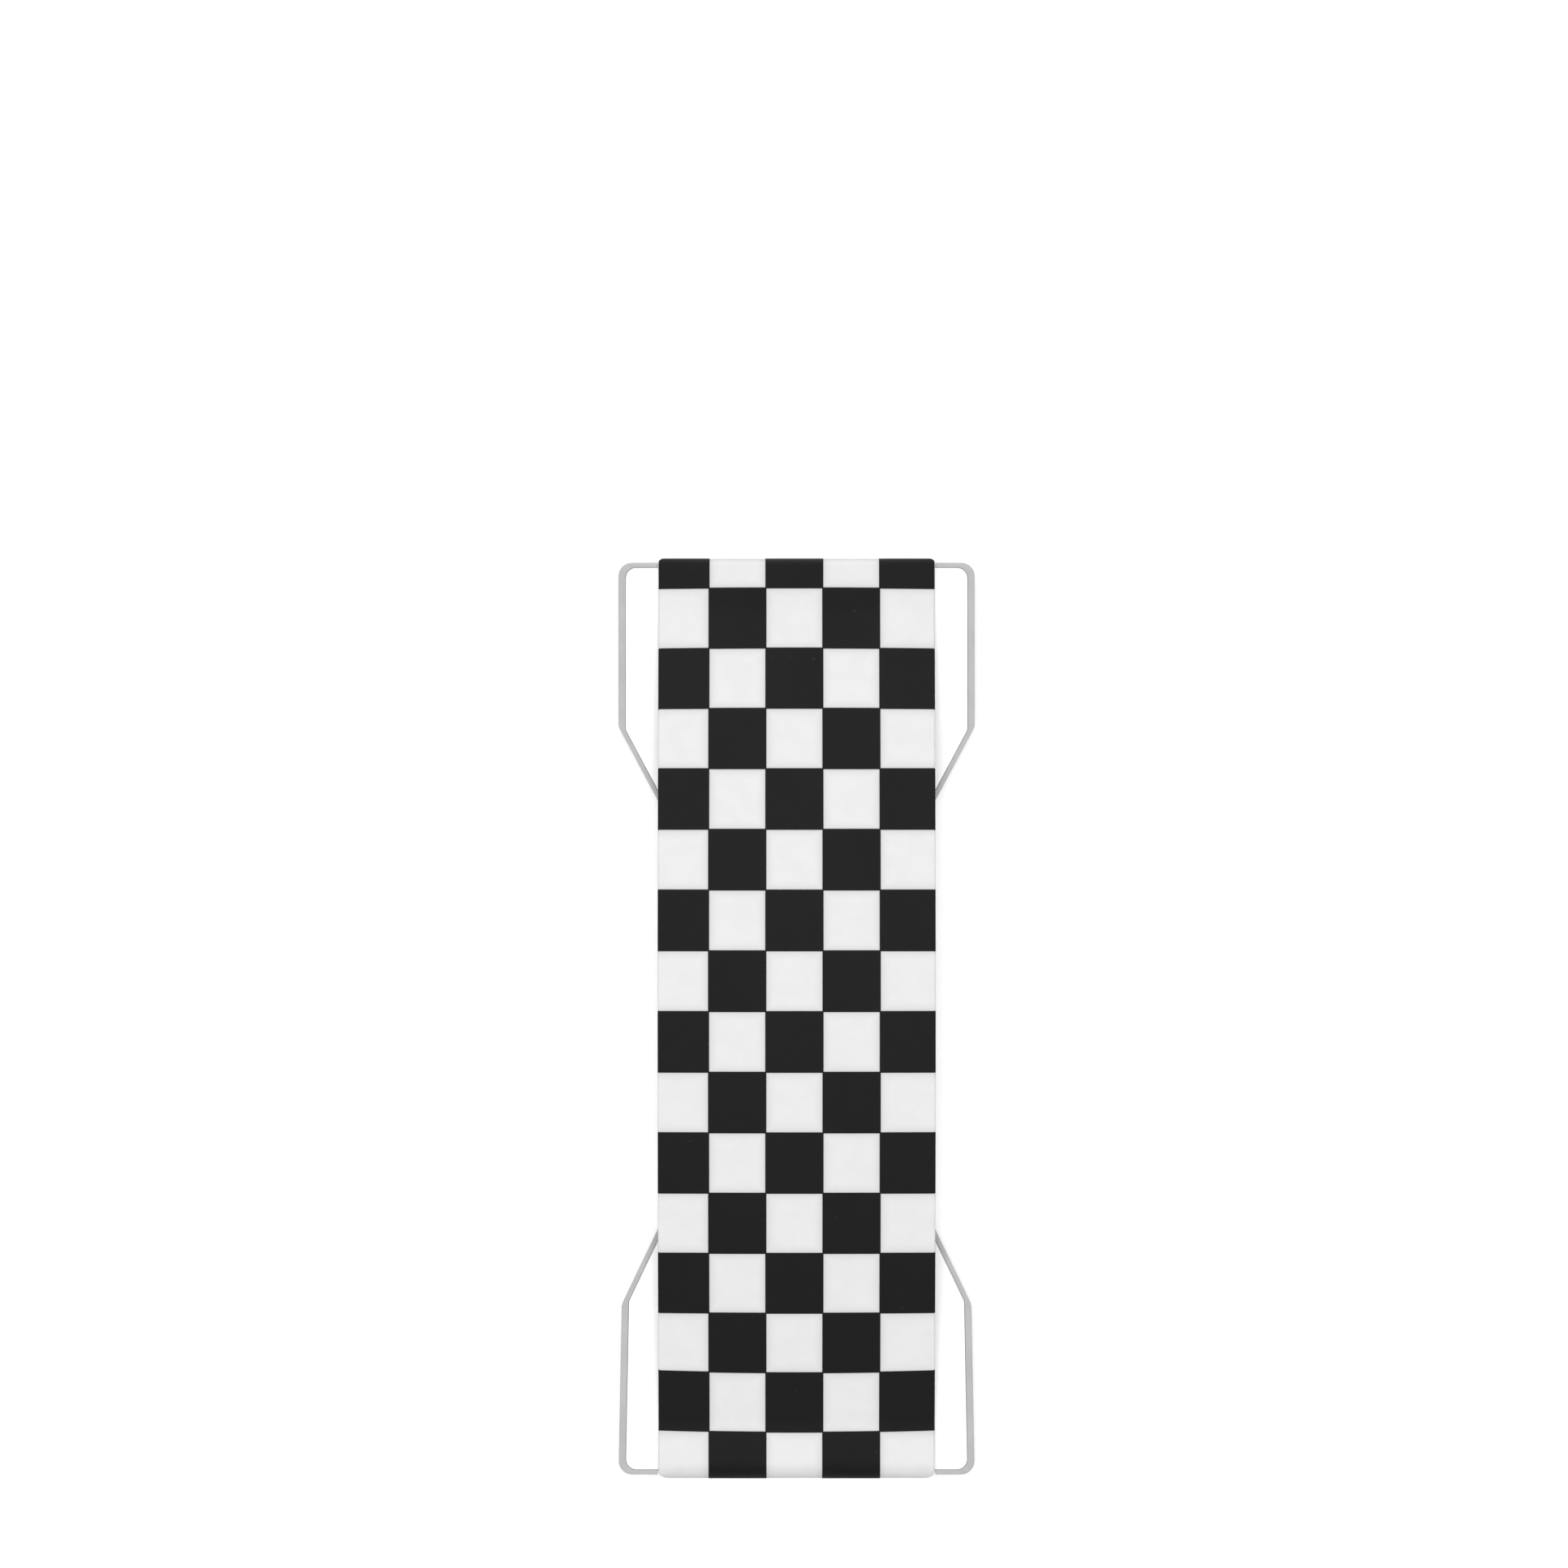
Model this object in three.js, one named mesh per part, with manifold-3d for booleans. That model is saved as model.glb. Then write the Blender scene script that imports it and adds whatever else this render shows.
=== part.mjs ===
// Finger strap: a printed silicone band arched over a dog-bone base plate, whose ends it hooks round.
// Millimetres, +Z up. The band runs along Y, and the origin lies under the middle of the adhesive pad.

import * as THREE from 'three';
import { mergeVertices } from 'three/addons/utils/BufferGeometryUtils.js';
import Module from 'manifold-3d';

const wasm = await Module();
wasm.setup();

// Base plate seen from above: a wing at each end and a narrow waist between them
const baseLength = 100.56;
const baseWidth = 39.28;
const baseCornerRadius = 1.45;
const elbowRadius = 1.2;
const waistWidth = 25;
const waistRadius = 6;
const topWingLength = 18.08;
const topWingAngle = 28;
const bottomWingLength = 18.68;
const bottomWingTaper = 0.35;
const bottomWingAngle = 25.5;

// Thicknesses of the base
const padThickness = 0.8;
const padInset = 0.5;
const barThickness = 1;
const linerThickness = 0.3;
const linerSetback = 2.4;
const rimWidth = 0.75;
const rimThinWidth = 0.5;
const recessCornerRadius = 1.2;
const rimRise = 0.2;
const rimBevel = 0.25;

// Strap
const strapWidth = 30.4;
const strapLength = 101.4;
const strapThickness = 1.6;
const crownRise = 0.5;
const archRise = 6.2;
const archFullness = 1.15;
const footLength = 5.9;
const edgeRadius = 0.3;
const topCornerRadius = 0.25;
const bottomCornerRadius = 0.7;
const topRollRadius = 0.65;
const bottomRollRadius = 1.9;
const hookWall = 1.45;
const hookFillet = 0.3;
const tailLength = 4;
const tailThickness = 1;

// Checker print
const columnPitch = 6.26;
const rowPitch = 6.64;
const printShift = -0.25;
const firstRowLength = 3.22;
const inkThickness = 0.08;
const inkSpread = 0.06;
const inkWrap = 0.4;

// Clearances
const fitGap = 0.15;
const linerGap = 0.1;
const tailGap = 0.4;
const smallestRadius = 0.05;

// How finely curves are cut into facets
const cornerStepAngle = 15;
const edgeSteps = 3;
const rollSteps = 5;
const hookSteps = 3;
const tipSteps = 6;
const rowSteps = 3;
const undersideSteps = 24;

// Heights above the surface that the pad rests on
const tailBottom = padThickness + fitGap;
const tailTop = tailBottom + tailThickness;
const barUnderside = tailTop + fitGap;
const plateFloor = barUnderside + barThickness;
const linerTop = plateFloor + linerThickness;
const rimTop = linerTop + rimRise;
const strapSeat = plateFloor + fitGap;

// Places along the strap
const strapEnd = strapLength / 2;
const archHalf = strapEnd - footLength;
const hookInner = strapEnd - hookWall;
const barEnd = hookInner - fitGap;
const notchWidth = strapWidth + 2 * fitGap;
const edge = Math.min(edgeRadius, tailThickness / 2 - smallestRadius);

// Outlines on the base: how far each lies inside the plate's edge, and the radius of its end corners
const plateOutline = { side: 0, rest: 0, endRadius: baseCornerRadius };
const recessOutline = { side: rimWidth, rest: rimThinWidth, endRadius: recessCornerRadius };
const linerOutline = {
  side: rimWidth + linerGap,
  rest: rimThinWidth + linerGap,
  endRadius: recessCornerRadius - linerGap,
};
const padOutline = { side: padInset, rest: padInset, endRadius: baseCornerRadius - padInset };

const basePlastic = new THREE.MeshStandardMaterial({ color: 0xc4c4c4, roughness: 0.5, metalness: 0 });
const linerWhite = new THREE.MeshStandardMaterial({ color: 0xfafafa, roughness: 0.65, metalness: 0 });
const padFoam = new THREE.MeshStandardMaterial({ color: 0xd8d8d4, roughness: 0.9, metalness: 0 });
const strapSilicone = new THREE.MeshStandardMaterial({ color: 0xefefef, roughness: 0.45, metalness: 0 });
const printInk = new THREE.MeshStandardMaterial({ color: 0x282828, roughness: 0.45, metalness: 0 });

// Geometry to a solid that can be cut, and back
function toSolid(geometry) {
  const bare = geometry.clone();
  bare.deleteAttribute('normal');
  bare.deleteAttribute('uv');
  const merged = mergeVertices(bare);
  return new wasm.Manifold(new wasm.Mesh({
    numProp: 3,
    vertProperties: merged.attributes.position.array,
    triVerts: new Uint32Array(merged.index.array),
  }));
}

function toGeometry(solid) {
  const mesh = solid.getMesh();
  const geometry = new THREE.BufferGeometry();
  geometry.setAttribute('position', new THREE.BufferAttribute(mesh.vertProperties, 3));
  geometry.setIndex(new THREE.BufferAttribute(mesh.triVerts, 1));
  geometry.computeVertexNormals();
  return geometry;
}

// A block between two corners, as a cutter
function block(low, high) {
  const size = new THREE.Vector3().subVectors(high, low);
  const middle = new THREE.Vector3().addVectors(low, high).multiplyScalar(0.5);
  const geometry = new THREE.BoxGeometry(size.x, size.y, size.z);
  geometry.translate(middle.x, middle.y, middle.z);
  return toSolid(geometry);
}

// The base outline's right-hand corners from the bottom up, and the same on the left from the top down
function baseCorners(endRadius) {
  const half = baseWidth / 2;
  const waist = waistWidth / 2;
  const elbow = half - bottomWingTaper;
  const bottomElbow = -baseLength / 2 + bottomWingLength;
  const topElbow = baseLength / 2 - topWingLength;
  const bottomRun = (elbow - waist) / Math.tan(THREE.MathUtils.degToRad(bottomWingAngle));
  const topRun = (half - waist) / Math.tan(THREE.MathUtils.degToRad(topWingAngle));
  const right = [
    { x: half, y: -baseLength / 2, endRadius },
    { x: elbow, y: bottomElbow, radius: elbowRadius },
    { x: waist, y: bottomElbow + bottomRun, radius: waistRadius },
    { x: waist, y: topElbow - topRun, radius: waistRadius },
    { x: half, y: topElbow, radius: elbowRadius },
    { x: half, y: baseLength / 2, endRadius },
  ];
  const left = right.map((corner) => ({ ...corner, x: -corner.x })).reverse();
  return [...right, ...left];
}

// The base outline drawn in by one distance along the wings' sides and another along the rest, corners rounded
function baseShape({ side, rest, endRadius }) {
  const insetAlong = (from, to) => ('endRadius' in from === 'endRadius' in to ? rest : side);
  const corners = baseCorners(endRadius);
  const points = [];
  corners.forEach((corner, index) => {
    const before = corners[(index + corners.length - 1) % corners.length];
    const after = corners[(index + 1) % corners.length];
    const place = new THREE.Vector2(corner.x, corner.y);
    const arriving = place.clone().sub(before).normalize();
    const leaving = new THREE.Vector2(after.x, after.y).sub(place).normalize();
    const inwardFrom = new THREE.Vector2(-arriving.y, arriving.x);
    const inwardTo = new THREE.Vector2(-leaving.y, leaving.x);
    const shared = inwardFrom.dot(inwardTo);
    const insetFrom = insetAlong(before, corner);
    const insetTo = insetAlong(corner, after);
    place.addScaledVector(inwardFrom, (insetFrom - insetTo * shared) / (1 - shared ** 2));
    place.addScaledVector(inwardTo, (insetTo - insetFrom * shared) / (1 - shared ** 2));
    const turn = Math.atan2(arriving.cross(leaving), arriving.dot(leaving));
    const bend = Math.sign(turn);
    const radius = Math.max(corner.endRadius ?? corner.radius - bend * rest, smallestRadius);
    const bisector = inwardFrom.clone().add(inwardTo).divideScalar(1 + shared);
    const centre = place.addScaledVector(bisector, bend * radius);
    const steps = Math.max(2, Math.ceil(Math.abs(THREE.MathUtils.radToDeg(turn)) / cornerStepAngle));
    for (let step = 0; step <= steps; step += 1) {
      const inward = inwardFrom.clone().rotateAround(new THREE.Vector2(), (turn * step) / steps);
      points.push(centre.clone().addScaledVector(inward, -bend * radius));
    }
  });
  return new THREE.Shape(points);
}

// A plate of the base outline between two heights
function plateBlank(outline, bottom, top, bevel) {
  const geometry = new THREE.ExtrudeGeometry(baseShape(outline), {
    depth: top - bottom - 2 * bevel,
    bevelEnabled: bevel > 0,
    bevelThickness: bevel,
    bevelSize: bevel,
    bevelOffset: -bevel,
    bevelSegments: 2,
  });
  geometry.translate(0, 0, bottom + bevel);
  return geometry;
}

// Rigid plate: raised rim, a sunk floor for the liner, and a notched bar at each end for the strap's hook
function basePlate() {
  const over = rimTop + padThickness;
  const hookSpace = barEnd - hookInner + hookWall + tailLength + tailGap;
  let plate = toSolid(plateBlank(plateOutline, padThickness, rimTop, rimBevel));
  plate = plate.subtract(toSolid(plateBlank(recessOutline, plateFloor, over, 0)));
  [-1, 1].forEach((side) => {
    const outer = side * baseLength;
    const notch = block(
      new THREE.Vector3(-notchWidth / 2, Math.min(side * barEnd, outer), 0),
      new THREE.Vector3(notchWidth / 2, Math.max(side * barEnd, outer), over),
    );
    const tailRoom = side * (strapEnd - hookSpace);
    const recess = block(
      new THREE.Vector3(-notchWidth / 2, Math.min(tailRoom, outer), 0),
      new THREE.Vector3(notchWidth / 2, Math.max(tailRoom, outer), barUnderside),
    );
    plate = plate.subtract(notch).subtract(recess);
  });
  return toGeometry(plate);
}

// Thin white sheet laid inside the rim, which stops short of the strap's feet
function faceLiner() {
  let liner = toSolid(plateBlank(linerOutline, plateFloor, linerTop, 0));
  [-1, 1].forEach((side) => {
    const inner = side * (archHalf - linerSetback);
    const outer = side * baseLength;
    liner = liner.subtract(block(
      new THREE.Vector3(-notchWidth / 2, Math.min(inner, outer), 0),
      new THREE.Vector3(notchWidth / 2, Math.max(inner, outer), rimTop),
    ));
  });
  return toGeometry(liner);
}

// Height of the strap's underside, flat at the feet and arched between them
function undersideHeight(y) {
  const share = Math.min(1, Math.abs(y) / archHalf);
  return strapSeat + archRise * (1 - share ** 2) ** archFullness;
}

// One point of the strap's side profile: facing is 1 on its top and -1 on its underside
function runPoint(y, lift, facing) {
  const reach = 0.01;
  const slope = (undersideHeight(y + reach) - undersideHeight(y - reach)) / (2 * reach);
  const length = Math.hypot(slope, 1);
  return {
    y,
    z: undersideHeight(y) + lift,
    normalY: (-slope * facing) / length,
    normalZ: facing / length,
    crown: facing > 0 ? 1 : 0,
    narrowing: 0,
  };
}

// How far the strap's side draws in near its end, which rounds its corners seen from above
function cornerNarrowing(side, y) {
  const radius = side > 0 ? topCornerRadius : bottomCornerRadius;
  const along = Math.max(0, Math.abs(y) - (strapEnd - radius));
  return radius - Math.sqrt(Math.max(0, radius ** 2 - along ** 2));
}

// Profile points round an arc at one end of the strap: facing is 1 on an outer corner and -1 in an inner one
function arcPoints(side, centreY, centreZ, radius, fromAngle, toAngle, steps, facing, crowned) {
  return Array.from({ length: steps + 1 }, (_, step) => {
    const angle = THREE.MathUtils.degToRad(THREE.MathUtils.lerp(fromAngle, toAngle, step / steps));
    const y = side * (centreY + radius * Math.cos(angle));
    return {
      y,
      z: centreZ + radius * Math.sin(angle),
      normalY: side * facing * Math.cos(angle),
      normalZ: facing * Math.sin(angle),
      crown: crowned ? Math.sin(angle) : 0,
      narrowing: facing > 0 ? cornerNarrowing(side, y) : 0,
    };
  });
}

// The strap's end, from its top over the roll and a little way down the end face
function rollPoints(side, wantedRadius) {
  const radius = Math.max(wantedRadius, edge + smallestRadius);
  const centreZ = strapSeat + strapThickness - radius;
  const roll = arcPoints(side, strapEnd - radius, centreZ, radius, 90, 0, rollSteps, 1, true);
  const last = roll[rollSteps];
  return [...roll, { ...last, z: last.z - inkWrap }];
}

// The rest of the hook: under the bar, round the tail's tip and back to the seat
function hookPoints(side) {
  const heel = edge + smallestRadius;
  const tip = tailThickness / 2;
  const inside = hookInner - hookFillet;
  return [
    ...arcPoints(side, strapEnd - heel, tailBottom + heel, heel, 0, -90, hookSteps, 1, false),
    ...arcPoints(side, hookInner - tailLength + tip, tailBottom + tip, tip, -90, -270, tipSteps, 1, false),
    ...arcPoints(side, inside, tailTop + hookFillet, hookFillet, -90, 0, hookSteps, -1, false),
    ...arcPoints(side, inside, strapSeat - hookFillet, hookFillet, 0, 90, hookSteps, -1, false),
  ];
}

// Lines between the print's rows, from the top end down
function rowLines() {
  const lines = [];
  const last = -(strapEnd - bottomRollRadius - inkSpread);
  for (let y = strapEnd - firstRowLength; y > last; y -= rowPitch) {
    lines.push(y);
  }
  return lines;
}

// Lines between the print's columns, from left to right
function columnLines() {
  const limit = strapWidth / 2 - edge - inkSpread;
  const first = Math.ceil((-limit - printShift) / columnPitch - 0.5);
  const lines = [];
  for (let x = printShift + (first + 0.5) * columnPitch; x < limit; x += columnPitch) {
    lines.push(x);
  }
  return lines;
}

// The strap's top between the rolls: two points at each row line, and a few between lines
function topRun() {
  const stops = [strapEnd - topRollRadius, ...rowLines(), -(strapEnd - bottomRollRadius)];
  const places = [];
  for (let index = 1; index < stops.length; index += 1) {
    const from = stops[index - 1] - (index > 1 ? inkSpread : 0);
    const to = stops[index] + (index < stops.length - 1 ? inkSpread : 0);
    for (let step = index > 1 ? 0 : 1; step < rowSteps; step += 1) {
      places.push(THREE.MathUtils.lerp(from, to, step / rowSteps));
    }
    if (index < stops.length - 1) {
      places.push(to);
    }
  }
  return places.map((y) => runPoint(y, strapThickness, 1));
}

// The strap's whole side profile as a loop, with the printed stretch first
function strapProfile() {
  const printed = [
    ...rollPoints(1, topRollRadius).reverse(),
    ...topRun(),
    ...rollPoints(-1, bottomRollRadius),
  ];
  const underside = Array.from({ length: undersideSteps + 1 }, (_, step) => {
    return runPoint(THREE.MathUtils.lerp(-archHalf, archHalf, step / undersideSteps), 0, -1);
  });
  const loop = [...printed, ...hookPoints(-1), ...underside, ...hookPoints(1).reverse()];
  return { loop, printedCount: printed.length };
}

// Stations across the strap: rounded side edges, and two stations at each column line
function strapStations() {
  const side = Array.from({ length: edgeSteps + 1 }, (_, step) => {
    const angle = (Math.PI / 2) * (step / edgeSteps);
    const x = strapWidth / 2 - edge + edge * Math.cos(angle);
    return { x, inset: edge * (1 - Math.sin(angle)), side: 1 };
  });
  const left = side.map((station) => ({ ...station, x: -station.x, side: -1 }));
  const middle = columnLines().flatMap((x) => [x - inkSpread, x + inkSpread]);
  return [...left, ...middle.map((x) => ({ x, inset: 0, side: 0 })), ...side.reverse()];
}

// A point of the strap's skin, or one lifted off it by a little
function skinPoint(station, step, lift) {
  const depth = lift - station.inset;
  const across = 1 - ((2 * station.x) / strapWidth) ** 2;
  return new THREE.Vector3(
    station.x - station.side * step.narrowing,
    step.y + step.normalY * depth,
    step.z + step.normalZ * depth + step.crown * crownRise * across,
  );
}

function facetGeometry(triangles) {
  const geometry = new THREE.BufferGeometry().setFromPoints(triangles);
  geometry.computeVertexNormals();
  return geometry;
}

function addQuad(triangles, a, b, c, d) {
  triangles.push(a, b, c, a, c, d);
}

// The side profile carried across the stations, closed by a cap on each side
function strapBand() {
  const { loop } = strapProfile();
  const stations = strapStations();
  const triangles = [];
  loop.forEach((step, index) => {
    const next = loop[(index + 1) % loop.length];
    for (let column = 1; column < stations.length; column += 1) {
      const left = stations[column - 1];
      const right = stations[column];
      addQuad(
        triangles,
        skinPoint(left, step, 0),
        skinPoint(left, next, 0),
        skinPoint(right, next, 0),
        skinPoint(right, step, 0),
      );
    }
  });
  [stations[0], stations[stations.length - 1]].forEach((station) => {
    const rim = loop.map((step) => skinPoint(station, step, 0));
    const flat = rim.map((point) => new THREE.Vector2(point.y, point.z));
    THREE.ShapeUtils.triangulateShape(flat, []).forEach(([a, b, c]) => {
      const corners = station.x > 0 ? [a, b, c] : [c, b, a];
      triangles.push(...corners.map((corner) => rim[corner]));
    });
  });
  return facetGeometry(triangles);
}

// The lines that a stretch touches, counted as the numbers of the squares on both sides of them
function squaresTouched(from, to, lines) {
  const low = lines.filter((line) => line < Math.min(from, to) + inkSpread / 2).length;
  const high = lines.filter((line) => line < Math.max(from, to) - inkSpread / 2).length;
  const seam = lines.some((line) => line > Math.min(from, to) && line < Math.max(from, to));
  return seam ? [high - 1, high] : [Math.max(low, high)];
}

// Black squares as one thin layer, whose corners just run together
function checkerPrint() {
  const { loop, printedCount } = strapProfile();
  const steps = loop.slice(0, printedCount);
  const stations = strapStations();
  const rowsDown = rowLines().map((y) => -y);
  const columns = columnLines();
  const rows = steps.slice(1).map((step, index) => squaresTouched(-steps[index].y, -step.y, rowsDown));
  const places = stations.slice(1).map((station, index) => {
    return squaresTouched(stations[index].x, station.x, columns);
  });
  const inked = (row, column) => {
    if (!rows[row] || !places[column]) {
      return false;
    }
    return rows[row].some((down) => places[column].some((along) => (down + along) % 2 === 0));
  };
  const triangles = [];
  rows.forEach((_, row) => {
    places.forEach((__, column) => {
      if (!inked(row, column)) {
        return;
      }
      const corner = (down, along, lift) => skinPoint(stations[column + along], steps[row + down], lift);
      const outline = [[0, 0], [1, 0], [1, 1], [0, 1]];
      const low = outline.map(([down, along]) => corner(down, along, 0));
      const high = outline.map(([down, along]) => corner(down, along, inkThickness));
      addQuad(triangles, ...high);
      triangles.push(low[0], low[2], low[1], low[0], low[3], low[2]);
      const beside = [[0, -1], [1, 0], [0, 1], [-1, 0]];
      beside.forEach(([down, along], side) => {
        if (!inked(row + down, column + along)) {
          const next = (side + 1) % 4;
          addQuad(triangles, low[side], low[next], high[next], high[side]);
        }
      });
    });
  });
  return facetGeometry(triangles);
}

function part(name, geometry, material) {
  const mesh = new THREE.Mesh(geometry, material);
  mesh.name = name;
  return mesh;
}

const fingerStrap = new THREE.Group();
fingerStrap.add(
  part('adhesive_pad', plateBlank(padOutline, 0, padThickness, 0), padFoam),
  part('base_plate', basePlate(), basePlastic),
  part('face_liner', faceLiner(), linerWhite),
  part('strap', strapBand(), strapSilicone),
  part('checker_print', checkerPrint(), printInk),
);

export default fingerStrap;
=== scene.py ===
"""A printed finger strap: the silicone band, the base that it hooks round, and the studio that shows them.

The object's own sizes are in millimetres, as on a maker's drawing, and its meshes are scaled to metres when
they are made. The band runs along Y, and the origin lies under the middle of the adhesive pad.
"""

import logging
import math
from dataclasses import dataclass
from enum import Enum
from typing import ClassVar, Iterable, Sequence

import bmesh
import bpy
import numpy as np
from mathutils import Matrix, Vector


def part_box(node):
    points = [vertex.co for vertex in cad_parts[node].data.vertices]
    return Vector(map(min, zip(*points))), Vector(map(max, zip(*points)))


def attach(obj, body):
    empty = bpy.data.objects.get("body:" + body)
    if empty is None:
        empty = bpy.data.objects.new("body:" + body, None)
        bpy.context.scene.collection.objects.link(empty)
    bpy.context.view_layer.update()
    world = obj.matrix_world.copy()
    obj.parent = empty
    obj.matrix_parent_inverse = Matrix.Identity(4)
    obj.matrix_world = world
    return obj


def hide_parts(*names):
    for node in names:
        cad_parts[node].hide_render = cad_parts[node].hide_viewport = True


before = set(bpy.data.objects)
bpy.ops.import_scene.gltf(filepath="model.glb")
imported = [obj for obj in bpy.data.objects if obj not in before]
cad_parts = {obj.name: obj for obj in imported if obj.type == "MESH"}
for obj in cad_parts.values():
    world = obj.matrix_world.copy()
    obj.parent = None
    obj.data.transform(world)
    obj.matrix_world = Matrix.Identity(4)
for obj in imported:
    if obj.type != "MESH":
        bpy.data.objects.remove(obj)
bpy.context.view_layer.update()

LOG = logging.getLogger("finger_strap")
MM = 0.001
ROOT = "root"
WELD_MM = 0.0005
SLOPE_REACH_MM = 0.01
CUT_CLEAR_MM = 1.0

Array = np.ndarray
Socket = bpy.types.NodeSocket


class End(Enum):
    """The two ends of the strap, by the sign of Y."""

    TOP = 1
    BOTTOM = -1


class Crease(Enum):
    """How far a face may turn from its neighbour, in degrees, before the edge between them shows as sharp."""

    SOFT = 60.0
    MOULDED = 34.0


def node_box_mm(node: str) -> tuple[Vector, Vector]:
    """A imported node's lowest and highest corners, in millimetres."""
    low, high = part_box(node)
    return low / MM, high / MM


def arc_points(centre: tuple[float, float], radius: float, start: float, stop: float, steps: int) -> Array:
    """Points on an arc between two angles in degrees, one a row."""
    angle = np.radians(np.linspace(start, stop, steps + 1))
    return np.stack([centre[0] + radius * np.cos(angle), centre[1] + radius * np.sin(angle)], axis=1)


def spread_along(points: Array, count: int) -> Array:
    """Even places along a line.

    Args:
        points: the line's own points, one a row.
        count: how many places are wanted.

    Returns:
        The places, from the first point to the last.
    """
    lengths = np.linalg.norm(np.diff(points, axis=0), axis=1)
    along = np.concatenate([[0.0], np.cumsum(lengths)])
    wanted = np.linspace(0.0, along[-1], count)
    return np.stack([np.interp(wanted, along, column) for column in points.T], axis=1)


def side_normals(points: Array, turn: float) -> Array:
    """Unit normals beside a line in a plane.

    Args:
        points: the line's points, one a row.
        turn: 1 for normals on the left of the way it runs, and -1 for the right.

    Returns:
        One normal for each point.
    """
    along = np.vstack([points[1:], points[-1:]]) - np.vstack([points[:1], points[:-1]])
    along /= np.maximum(np.linalg.norm(along, axis=1, keepdims=True), 1e-9)
    return turn * np.stack([-along[:, 1], along[:, 0]], axis=1)


def mesh_object(name: str, places: Array, faces: Iterable[Sequence[int]]) -> bpy.types.Object:
    """A new mesh piece in the scene.

    Args:
        name: the piece's name.
        places: its vertices, in millimetres.
        faces: the vertex numbers of each face.

    Returns:
        The object, in metres.
    """
    mesh = bpy.data.meshes.new(name)
    mesh.from_pydata((places * MM).tolist(), [], [tuple(map(int, face)) for face in faces])
    piece = bpy.data.objects.new(name, mesh)
    bpy.context.scene.collection.objects.link(piece)
    return piece


def finish_mesh(piece: bpy.types.Object, crease: Crease) -> None:
    """Welds doubled vertices, turns every face outwards and smooths all but the sharp edges.

    Args:
        piece: the piece to finish.
        crease: which edges stay sharp.
    """
    shape = bmesh.new()
    shape.from_mesh(piece.data)
    bmesh.ops.remove_doubles(shape, verts=shape.verts, dist=WELD_MM * MM)
    bmesh.ops.recalc_face_normals(shape, faces=shape.faces)
    for face in shape.faces:
        face.smooth = True
    for edge in shape.edges:
        edge.smooth = edge.calc_face_angle(0.0) < math.radians(crease.value)
    shape.to_mesh(piece.data)
    shape.free()


def cut_away(piece: bpy.types.Object, cutters: Sequence[bpy.types.Object]) -> None:
    """Cuts solids out of a moulded piece, and removes them.

    Args:
        piece: the piece to cut, which gets a new mesh.
        cutters: the closed solids to take out of it.
    """
    for cutter in cutters:
        cut = piece.modifiers.new(cutter.name, "BOOLEAN")
        cut.operation = "DIFFERENCE"
        cut.solver = "EXACT"
        cut.object = cutter
    graph = bpy.context.evaluated_depsgraph_get()
    made = bpy.data.meshes.new_from_object(piece.evaluated_get(graph))
    piece.modifiers.clear()
    piece.data = made
    for cutter in cutters:
        bpy.data.objects.remove(cutter)
    finish_mesh(piece, Crease.MOULDED)


def moulded_solid(name: str, outlines: Sequence[Array]) -> bpy.types.Object:
    """A closed solid through a row of matching outlines.

    Args:
        name: the piece's name.
        outlines: each outline's points in space, one a row.

    Returns:
        The solid, with a flat face inside the first outline and inside the last.
    """
    count = len(outlines[0])
    faces = [
        (level * count + a, level * count + b, (level + 1) * count + b, (level + 1) * count + a)
        for level in range(len(outlines) - 1)
        for a, b in ((k, (k + 1) % count) for k in range(count))
    ]
    faces.append(range(count - 1, -1, -1))
    faces.append(range((len(outlines) - 1) * count, len(outlines) * count))
    solid = mesh_object(name, np.vstack(outlines), faces)
    finish_mesh(solid, Crease.MOULDED)
    return solid


def at_height(points: Array, height: float) -> Array:
    """Points seen from above, placed at one height."""
    return np.column_stack([points, np.full(len(points), height)])


def even_cells(stops: Sequence[float], spread: float, cell: float) -> Array:
    """Places that cut a line into cells, with two places close together at every stop but the outer ones.

    Args:
        stops: the stops along the line, in order.
        spread: how far those two places lie from their stop.
        cell: the longest that a cell may be.

    Returns:
        The places between the outer stops, in order.
    """
    places = []
    apart = math.copysign(spread, stops[-1] - stops[0])
    for index, (start, stop) in enumerate(zip(stops[:-1], stops[1:])):
        first = start + (apart if index > 0 else 0)
        last = stop - (apart if index < len(stops) - 2 else 0)
        places.extend(np.linspace(first, last, math.ceil(abs(last - first) / cell) + 1))
    return np.array(places)[1:-1]


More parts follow.
